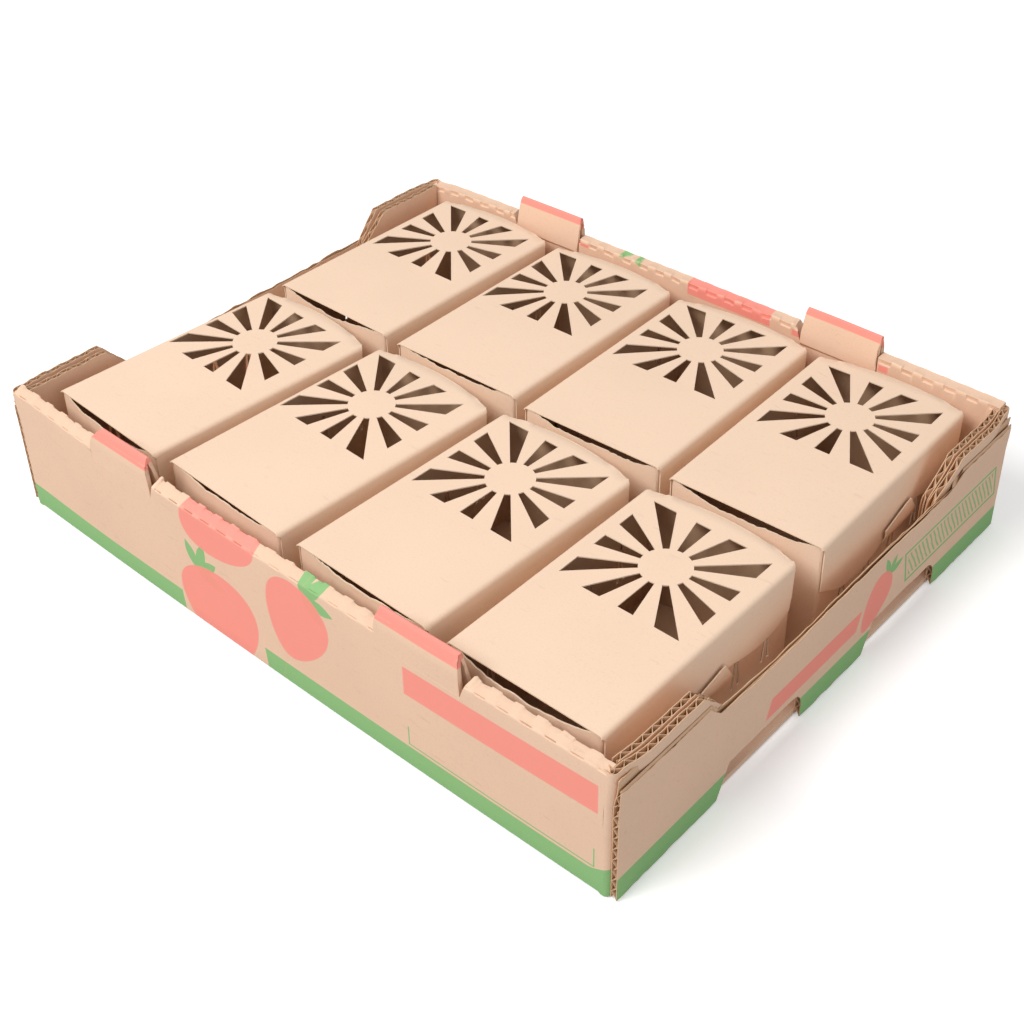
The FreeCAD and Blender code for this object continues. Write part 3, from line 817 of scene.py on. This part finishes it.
def make_post(name, x_way, y_way, seed, leans):
    """A corner post: the long wall's two layers turned in behind the end panel, raw along the top."""
    stack = Stack()
    turn = CORNER_ROUND * math.pi / 2

    def put(x, y, z, lean):
        from_corner = HALF_DEPTH - CORNER_ROUND + y
        share = CORNER_SHARE + (1 - CORNER_SHARE) * rise(from_corner, 0, 24)
        return np.stack([(x + rise(z, LEAN_FROM, RIM) * lean * share) * x_way, y * y_way, z], -1)

    def outer(u, v, depth):
        angle = np.clip((u - POST_LEAD) / CORNER_ROUND, 0, math.pi / 2)
        radius = CORNER_ROUND - depth
        x = WALL_END + np.minimum(u - POST_LEAD, 0) + radius * np.sin(angle)
        y = -(HALF_DEPTH - CORNER_ROUND) - radius * np.cos(angle) + np.maximum(u - POST_LEAD - turn, 0)
        y = y + np.maximum(POST_LEAD - u, 0) * 0.3
        return put(x, y, v, leans[1])

    def inner(u, v, depth):
        return put(INNER_X + BOARD - depth, -INNER_Y + u, v, leans[0])

    outer_cut = post_outline(0, POST_LEAD + turn + HALF_DEPTH - CORNER_ROUND, seed)
    inner_cut = post_outline(0.6, INNER_Y, seed + 5)
    bend = POST_LEAD + turn * np.linspace(0, 1, 7)
    mirrored = x_way * y_way < 0
    board_layers(stack, outer, 0, seed, [outer_cut] * 3, mirrored, 4.0, bend)
    board_layers(stack, inner, 0, seed + 2, [inner_cut] * 3, mirrored)
    material = BOARD_FRONT if y_way > 0 else BOARD_BACK
    return stack.piece(name, [material, BOARD_EDGE, BOARD_FLUTE], TRAY_BODY)


def panel_outline(seed, post_top, mid_drop, rough):
    """The flat cut of an outer end panel, in y and z: raw edges, two hand notches and a low middle."""
    half = HALF_DEPTH - 2
    near_notch = [(-112, 0.2), (-102, 22)] + arc((-42, 11), 11, 90, 0, 6) + [(-31, 0.2)]
    far_notch = [(35, 0.2), (45, 22)] + arc((107, 11), 11, 90, 0, 6) + [(118, 0.2)]
    low_middle = [(y, z - mid_drop) for y, z in zip(PANEL_EDGE_Y[3:0:-1], PANEL_EDGE_Z[3:0:-1])]
    top = [(half, post_top), (PANEL_EDGE_Y[-1], post_top)] + low_middle
    top += [(PANEL_EDGE_Y[0], post_top), (-half, post_top)]
    loop = dense([(-half, 0.2)] + near_notch + far_notch + [(half, 0.2)] + top, 2.2)
    raw = rise(loop[:, 1], 50, 60) * rough
    torn = np.abs(wander(loop[:, 0], seed + 4, 2.5)) * rise(np.abs(loop[:, 0]), 122, 130)
    loop[:, 1] += (wander(loop[:, 0], seed, 6) + wander(loop[:, 0], seed + 1, 22) - torn) * raw
    low = (loop[:, 1] < 24) & (loop[:, 1] > 1)
    loop[:, 1] += np.where(low, wander(loop[:, 0], seed + 2, 7) * 0.5, 0)
    loop[:, 1] += np.where(loop[:, 1] < 0.5, np.abs(wander(loop[:, 0], seed + 5, 8)) * 1.1, 0)
    return loop


def make_end_panel(name, x_way, seed, material):
    """The outer end panel, with its flutes lying along the tray, crushed along its torn top."""
    stack = Stack()

    def place(u, v, depth):
        crest = np.interp(u, PANEL_EDGE_Y, PANEL_EDGE_Z)
        crush = rise(v, crest - 9, crest)
        depth = 1.2 + (depth - 1.2) * (1 - 0.4 * crush)
        sway = wander(u, seed + 7, 45) * 0.5 * rise(v, 30, 70)
        x = POST_X + BOARD - depth + np.minimum(sway, 0)
        push = rise(v, LEAN_FROM, RIM) * (RIGHT_LEAN if x_way > 0 else LEFT_LEAN)[1] * CORNER_SHARE
        return np.stack([(x + push) * x_way, u, v], -1)

    face = panel_outline(seed, PANEL_EDGE_Z[0], 0, 0.8)
    middle = panel_outline(seed + 20, 84.0, -0.8, 0.9)
    back = panel_outline(seed + 40, 87.5, -0.4, 0.8)
    board_layers(stack, place, 1, seed, (face, middle, back), x_way < 0, spacing=5.0)
    return stack.piece(name, [material, BOARD_EDGE, BOARD_FLUTE], TRAY_BODY)


def make_floor():
    """The tray's floor."""
    stack = Stack()
    x = np.linspace(-POST_X + 0.2, POST_X - 0.2, 60)
    half = HALF_DEPTH + bow(x) - 9.8
    corners = ((-half, 0.05), (half, 0.05), (half + 1.2, BOARD), (-half - 1.2, BOARD))
    stack.loft(np.stack([np.stack([x, y, np.full_like(x, z)], -1) for y, z in corners], 1))
    return stack.piece("tray_floor", [BOARD_PLAIN], TRAY_BODY)


# The cartons

def carton_place(name):
    """A function that turns a carton's own millimetres into the tray's."""
    x, y, turn, _, _ = CARTONS[name]
    cosine, sine = math.cos(math.radians(turn)), math.sin(math.radians(turn))

    def put(points):
        out = np.empty_like(points)
        out[..., 0] = x + points[..., 0] * cosine - points[..., 1] * sine
        out[..., 1] = y + points[..., 0] * sine + points[..., 1] * cosine
        out[..., 2] = points[..., 2] + BOARD
        return out
    return put


FLAP_EDGE = [(-88, 31), (-80, 38), (-68, 43), (-50, 43), (-30, 40), (-8, 33), (8, 28.5), (20, 29), (35, 33.5),
             (53, 35.5), (68, 34), (75, 32.5), (77, 30)]


def flap_line(seed):
    """The curved lower edge of a side flap in the flat cut, from its near end to its far one."""
    v = np.array([p[0] for p in FLAP_EDGE], float)
    depth = np.array([p[1] for p in FLAP_EDGE], float)
    fine = np.linspace(v[0], v[-1], 60)
    smooth = np.interp(fine, v, depth)
    smooth = np.convolve(np.pad(smooth, 3, "edge"), np.ones(7) / 7, "valid")
    smooth += wander(fine, seed, 12) * 0.35
    return fine, smooth


def ray_outline(middle, shift):
    """One vent: a ray that widens from the hub to the side of a square."""
    first, last = math.radians(middle - VENT_SPREAD / 2), math.radians(middle + VENT_SPREAD / 2)
    hub = [(VENT_HUB * math.cos(a), VENT_HUB * math.sin(a)) for a in np.linspace(last, first, 4)]
    sideways = abs(math.cos(math.radians(middle))) > abs(math.sin(math.radians(middle)))
    ends = []
    for angle in (first, last):
        reach = VENT_HALF / abs(math.cos(angle) if sideways else math.sin(angle))
        ends.append((reach * math.cos(angle), reach * math.sin(angle)))
    return [(VENT_X + shift[0] + x, VENT_Y + shift[1] + y) for x, y in hub + ends]


def make_lid(name, seed):
    """A carton's lid: one flat cut with twelve rays, folded down softly along its sides and far arch."""
    rng = np.random.default_rng(seed)
    lift, twist, crown_up = rng.uniform(-0.4, 0.5), rng.uniform(-0.6, 0.6), rng.uniform(0.2, 0.7)
    flare = rng.uniform(2.5, 4.0, 2)
    put = carton_place(name)
    fold_start = LID_HALF - FOLD
    stretch = FOLD * math.pi / 2
    flap_root = fold_start + stretch
    right_v, right_depth = flap_line(seed)
    left_v, left_depth = flap_line(seed + 1)
    arch_u = (LID_HALF - LID_CORNER) * np.linspace(-1, 1, 41)
    arch_v = ARCH_CENTRE_Y + np.sqrt((ARCH_RADIUS + ARCH_FOLD * (math.pi / 2 - 1)) ** 2 - arch_u ** 2)
    corner = [(LID_HALF - LID_CORNER + 1.6, ARCH_FOOT + 0.6), (LID_HALF - 1.6, ARCH_FOOT - 1.2)]
    right_side = [(flap_root + 0.6, right_v[0])]
    right_side += [(flap_root + d - FOLD, v) for v, d in zip(right_v, right_depth)]
    right_side += [(flap_root + 20, 78.6), (flap_root, 79.4)] + corner[::-1]
    left_side = [(-u, v) for u, v in corner] + [(-flap_root, 79.4), (-flap_root - 20, 78.6)]
    left_side += [(-flap_root - d + FOLD, v) for v, d in zip(left_v[::-1], left_depth[::-1])]
    left_side += [(-flap_root - 0.6, left_v[0])]
    outline = [(-LID_HALF, LID_NEAR), (LID_HALF, LID_NEAR)] + right_side
    outline += list(zip(arch_u[::-1], arch_v[::-1])) + left_side
    shift = VENT_SHIFTS.get(name, (0, 0))
    rays = [dense(ray_outline(VENT_TURN + 30 * number, shift), 4.0) for number in range(12)]
    fold_lines = np.concatenate([fold_start + stretch * np.linspace(0, 1, 7), [fold_start - 2]])
    fold_lines = np.concatenate([-fold_lines[::-1], fold_lines])
    flat, triangles = cut(dense(outline, 3.0), rays, 5.5, fold_lines)

    def place(u, v):
        side = np.sign(u)
        belly = np.sin(math.pi * np.clip((v + 88) / 166, 0, 1)) ** 0.8
        lean = np.arctan2(np.where(u > 0, flare[0], flare[1]) * belly, FLAP_DEPTH)
        along = np.clip((np.abs(u) - fold_start) / FOLD, 0, math.pi / 2 - lean)
        beyond = np.maximum(np.abs(u) - fold_start - FOLD * (math.pi / 2 - lean), 0)
        x = np.where(np.abs(u) > fold_start,
                     fold_start + FOLD * np.sin(along) + beyond * np.sin(lean), np.abs(u)) * side
        z = CARTON_TOP - FOLD * (1 - np.cos(along)) - beyond * np.cos(lean)
        x = x + side * belly * (beyond / FLAP_DEPTH) ** 2 * 0.6 * np.sin(v / 21 + seed)
        radius = np.hypot(x, v - ARCH_CENTRE_Y)
        outside = np.where(v > 60, radius - (ARCH_RADIUS - ARCH_FOLD), -1)
        bend = np.clip(outside / ARCH_FOLD, 0, math.pi / 2)
        pull = np.where(outside > 0,
                        (ARCH_RADIUS - ARCH_FOLD + ARCH_FOLD * np.sin(bend)) / np.maximum(radius, 1), 1)
        is_top = beyond <= 0
        x = np.where(is_top, x * pull, x)
        y = np.where(is_top, ARCH_CENTRE_Y + (v - ARCH_CENTRE_Y) * pull, v)
        z = z - np.where(is_top, ARCH_FOLD * (1 - np.cos(bend)), 0)
        swell = np.clip(1 - (x / LID_HALF) ** 2, 0, 1) * np.clip(1 - ((v + 5) / 95) ** 2, 0, 1)
        z = z + crown_up * swell + lift * rise(-v, -80, 90) + twist * x / LID_HALF * rise(-v, -60, 90)
        return put(np.stack([x, y, z], -1))

    stack = Stack()
    stack.sheet(flat, triangles, place, CARD, (0, 1, 2))
    return stack.piece(f"lid_{name}", [CARD_FACE, CARD_BACK, CARD_EDGE], f"lid_{name}",
                       f"carton_lid_{name}", sharp=50)


def base_plan(bulge):
    """The line that a carton's walls stand on, from the middle of the back wall once round."""
    front = LID_NEAR + CARD
    front_radius = arc_radius(FRONT_HALF, bulge)
    arch_x = np.linspace(0, BASE_HALF - 4.5, 12)
    back_radius = arc_radius(BASE_HALF, ARCH_RISE)
    arch_y = ARCH_FOOT + ARCH_RISE - CARD - back_radius + np.sqrt(back_radius ** 2 - arch_x ** 2)
    right = list(zip(arch_x, arch_y))
    right += [(BASE_HALF - 2.0, ARCH_FOOT - 0.6), (BASE_HALF - 0.5, ARCH_FOOT - 2.6),
              (BASE_HALF, ARCH_FOOT - 5)]
    right += [(BASE_HALF, y) for y in np.linspace(ARCH_FOOT - 12, front + 12, 24)]
    right += [(BASE_HALF, front + 2.4), (BASE_HALF - 0.4, front + 1.2)]
    right += [(BASE_HALF - 1.4, front + 0.3), (BASE_HALF - 3.6, front)]
    front_x = np.linspace(FRONT_HALF, 0, 14)[1:]
    front_y = front - bulge + front_radius - np.sqrt(front_radius ** 2 - front_x ** 2)
    right += list(zip(front_x, front_y))
    left = [(-x, y) for x, y in right[-2::-1]]
    return np.array(right + left)


def make_base(name, seed):
    """A carton's open base: one card wall bent round, torn along its bowed front, with a card floor."""
    put = carton_place(name)
    drop, bulge = CARTONS[name][3:]
    plan = base_plan(bulge)
    run = np.concatenate([[0], np.cumsum(np.linalg.norm(np.diff(plan, axis=0), axis=1))])
    length = run[-1]
    half = length / 2
    top = CARTON_TOP - CARD - 0.3
    along = np.linspace(0, length, 300)
    from_front = along - half
    dip = drop * np.clip(1 - (from_front / FRONT_HALF) ** 4, 0, 1)
    torn = wander(along, seed, 2.5) * 0.55 + wander(along, seed + 1, 11) * 0.7
    edge = top - dip + torn * rise(FRONT_HALF - np.abs(from_front), 0, 8)
    edge = np.minimum(edge, top)
    outline = [(0, 0.2), (length, 0.2)] + list(zip(along[::-1], edge[::-1]))
    vents = []
    side_start = run[np.argmin(np.abs(plan[:, 1] - 60) + (plan[:, 0] < 0) * 500)]
    for number in range(SIDE_VENTS):
        step = number * SIDE_VENT_PITCH
        for at in (side_start + step, length - side_start - step):
            vents.append(dense([(at + across, up) for across, up in SIDE_VENT], 5.0))
    corner_lines = run[(np.abs(plan[:, 0]) > BASE_HALF - 4.5) & (np.abs(plan[:, 1]) > ARCH_FOOT - 6)]
    flat, triangles = cut(dense(outline, 2.2), vents, 7.0, corner_lines)

    def place(u, v):
        x = np.interp(u, run, plan[:, 0])
        y = np.interp(u, run, plan[:, 1])
        at_front = np.clip(1 - ((u - half) / FRONT_HALF) ** 2, 0, 1)
        y = y - at_front * 0.9 * rise(v, 60, 84) * np.sin(u / 9 + seed) * 0.4
        y = y + at_front * wander(u, seed + 3, 30) * 0.6 * rise(v, 20, 80)
        return put(np.stack([x, y, v], -1))

    stack = Stack()
    stack.sheet(flat, triangles[:, ::-1], place, CARD, (0, 1, 2))
    floor_flat, floor_triangles = cut(dense(plan[:-1] * 0.985, 6.0), spacing=20.0)
    stack.sheet(floor_flat, floor_triangles, lambda u, v: put(np.stack([u, v, np.full_like(u, 1.0)], -1)),
                CARD, (1, 0, 2))
    for side in (-1, 1):
        add_tongue(stack, put, side, seed + 11 + side)
    return stack.piece(f"base_{name}", [CARD_FACE, CARD_BACK, CARD_EDGE], TRAY_BODY,
                       f"carton_base_{name}", sharp=30)


def add_tongue(stack, put, side, seed):
    """The tongue cut from a side wall that laps over the lid's flap."""
    outline = dense([(-22, 40), (18, 40), (16, 52), (9, 64), (4, 63.5), (-22, 58)], 2.5)
    outline[:, 1] += wander(outline[:, 0], seed, 8) * 0.4 * (outline[:, 1] > 45)
    flat, triangles = cut(outline, spacing=4.0)
    if side < 0:
        triangles = triangles[:, ::-1]

    def place(u, v):
        out = BASE_HALF + 0.3 + 6.2 * rise(v, 40, 54) - 0.8 * rise(v, 54, 64)
        return put(np.stack([side * out, u, v], -1))

    stack.sheet(flat, triangles, place, CARD, (0, 1, 2))


# Everything in its place

make_long_wall("near_wall", -1, 10, BOARD_FRONT, near_creases, "tray")
make_long_wall("far_wall", 1, 30, BOARD_BACK, far_creases)
for tab_number, tab_name in enumerate(TABS):
    make_tab(tab_name, 50 + 10 * tab_number)
make_post("near_right_post", 1, 1, 70, RIGHT_LEAN)
make_post("far_right_post", 1, -1, 80, RIGHT_LEAN)
make_post("near_left_post", -1, 1, 90, LEFT_LEAN)
make_post("far_left_post", -1, -1, 100, LEFT_LEAN)
make_end_panel("right_end_panel", 1, 110, BOARD_END)
make_end_panel("left_end_panel", -1, 120, BOARD_PLAIN_END)
make_floor()
for carton_number, carton_name in enumerate(CARTONS):
    make_base(carton_name, 200 + 20 * carton_number)
    make_lid(carton_name, 210 + 20 * carton_number)


# The light, the floor and the camera

LAMP_DISTANCE = 3.0
WORLD_LEVEL = 0.47
WHITE = (1, 1, 1, 1)
FLOOR_SHOWN = (0.96, 0.96, 0.96, 1)
FLOOR_LIT = (0.45, 0.45, 0.45, 1)
FLOOR_GLOW = (0.3, 0.3, 0.3, 1)
BLACK = (0, 0, 0, 1)


def make_stage():
    """A wide pale floor, which shows white and throws less light back at the object."""
    reach = 12.0
    mesh = bpy.data.meshes.new("floor")
    corners = [(-reach, -reach, 0), (reach, -reach, 0), (reach, reach, 0), (-reach, reach, 0)]
    mesh.from_pydata(corners, [], [(0, 1, 2, 3)])
    made = bpy.data.objects.new("floor", mesh)
    bpy.context.scene.collection.objects.link(made)
    finish = Finish("pale_floor", 0.9)
    shown = finish.node("ShaderNodeLightPath", {}, {}, "Is Camera Ray")
    for ray in ("Is Glossy Ray", "Is Transmission Ray"):
        shown = shown.either(finish.node("ShaderNodeLightPath", {}, {}, ray))
    finish.feed("Base Color", finish.mix(shown, FLOOR_LIT, FLOOR_SHOWN))
    finish.feed("Emission Color", finish.mix(shown, BLACK, FLOOR_GLOW))
    finish.shader.inputs["Emission Strength"].default_value = 1.0
    mesh.materials.append(finish.material)
    made.location.z = -0.0005


def make_lamp(name, toward, strength, size):
    """A round soft lamp that shines at the object from a direction."""
    light = bpy.data.lights.new(name, "AREA")
    light.shape = "DISK"
    light.size = size
    light.energy = strength
    made = bpy.data.objects.new(name, light)
    bpy.context.scene.collection.objects.link(made)
    spot = Vector(toward).normalized() * LAMP_DISTANCE
    made.location = spot
    made.rotation_euler = (-spot).to_track_quat("-Z", "Y").to_euler()


def make_world():
    """An even white light, which the camera sees as pure white."""
    world = bpy.data.worlds.new("studio")
    world.use_nodes = True
    bpy.context.scene.world = world
    background = world.node_tree.nodes["Background"]
    background.inputs["Color"].default_value = WHITE
    tree = world.node_tree
    seen = tree.nodes.new("ShaderNodeLightPath")
    level = tree.nodes.new("ShaderNodeMapRange")
    level.inputs["To Min"].default_value = WORLD_LEVEL
    tree.links.new(seen.outputs["Is Camera Ray"], level.inputs["Value"])
    tree.links.new(level.outputs["Result"], background.inputs["Strength"])


def make_camera():
    """The photograph's camera: where it stands, where it looks and how it is framed."""
    spot = Vector((557.7, -602.9, 656.1)) * MM
    azimuth, elevation, roll = (math.radians(a) for a in (42.72, 34.29, -1.416))
    focal, frame_size, centre_x, centre_y = 1555.9, 1024, 501.7, 393.1
    forward = Vector((-math.sin(azimuth) * math.cos(elevation), math.cos(azimuth) * math.cos(elevation),
                      -math.sin(elevation)))
    level = forward.cross(Vector((0, 0, 1))).normalized()
    right = level * math.cos(roll) + level.cross(forward) * math.sin(roll)
    up = right.cross(forward)
    data = bpy.data.cameras.new("camera")
    data.sensor_width = 36
    data.lens = focal * data.sensor_width / frame_size
    data.shift_x = (frame_size / 2 - centre_x) / frame_size
    data.shift_y = (centre_y - frame_size / 2) / frame_size
    data.clip_end = 100
    made = bpy.data.objects.new("camera", data)
    bpy.context.scene.collection.objects.link(made)
    axes = Matrix((right, up, -forward)).transposed().to_4x4()
    made.matrix_world = Matrix.Translation(spot) @ axes
    bpy.context.scene.camera = made


make_stage()
make_lamp("key", (-0.3, -0.9, 1.15), 62, 1.6)
make_lamp("fill", (1.0, -0.3, 0.35), 12, 2.2)
make_world()
make_camera()
bpy.context.scene.view_settings.view_transform = "Standard"
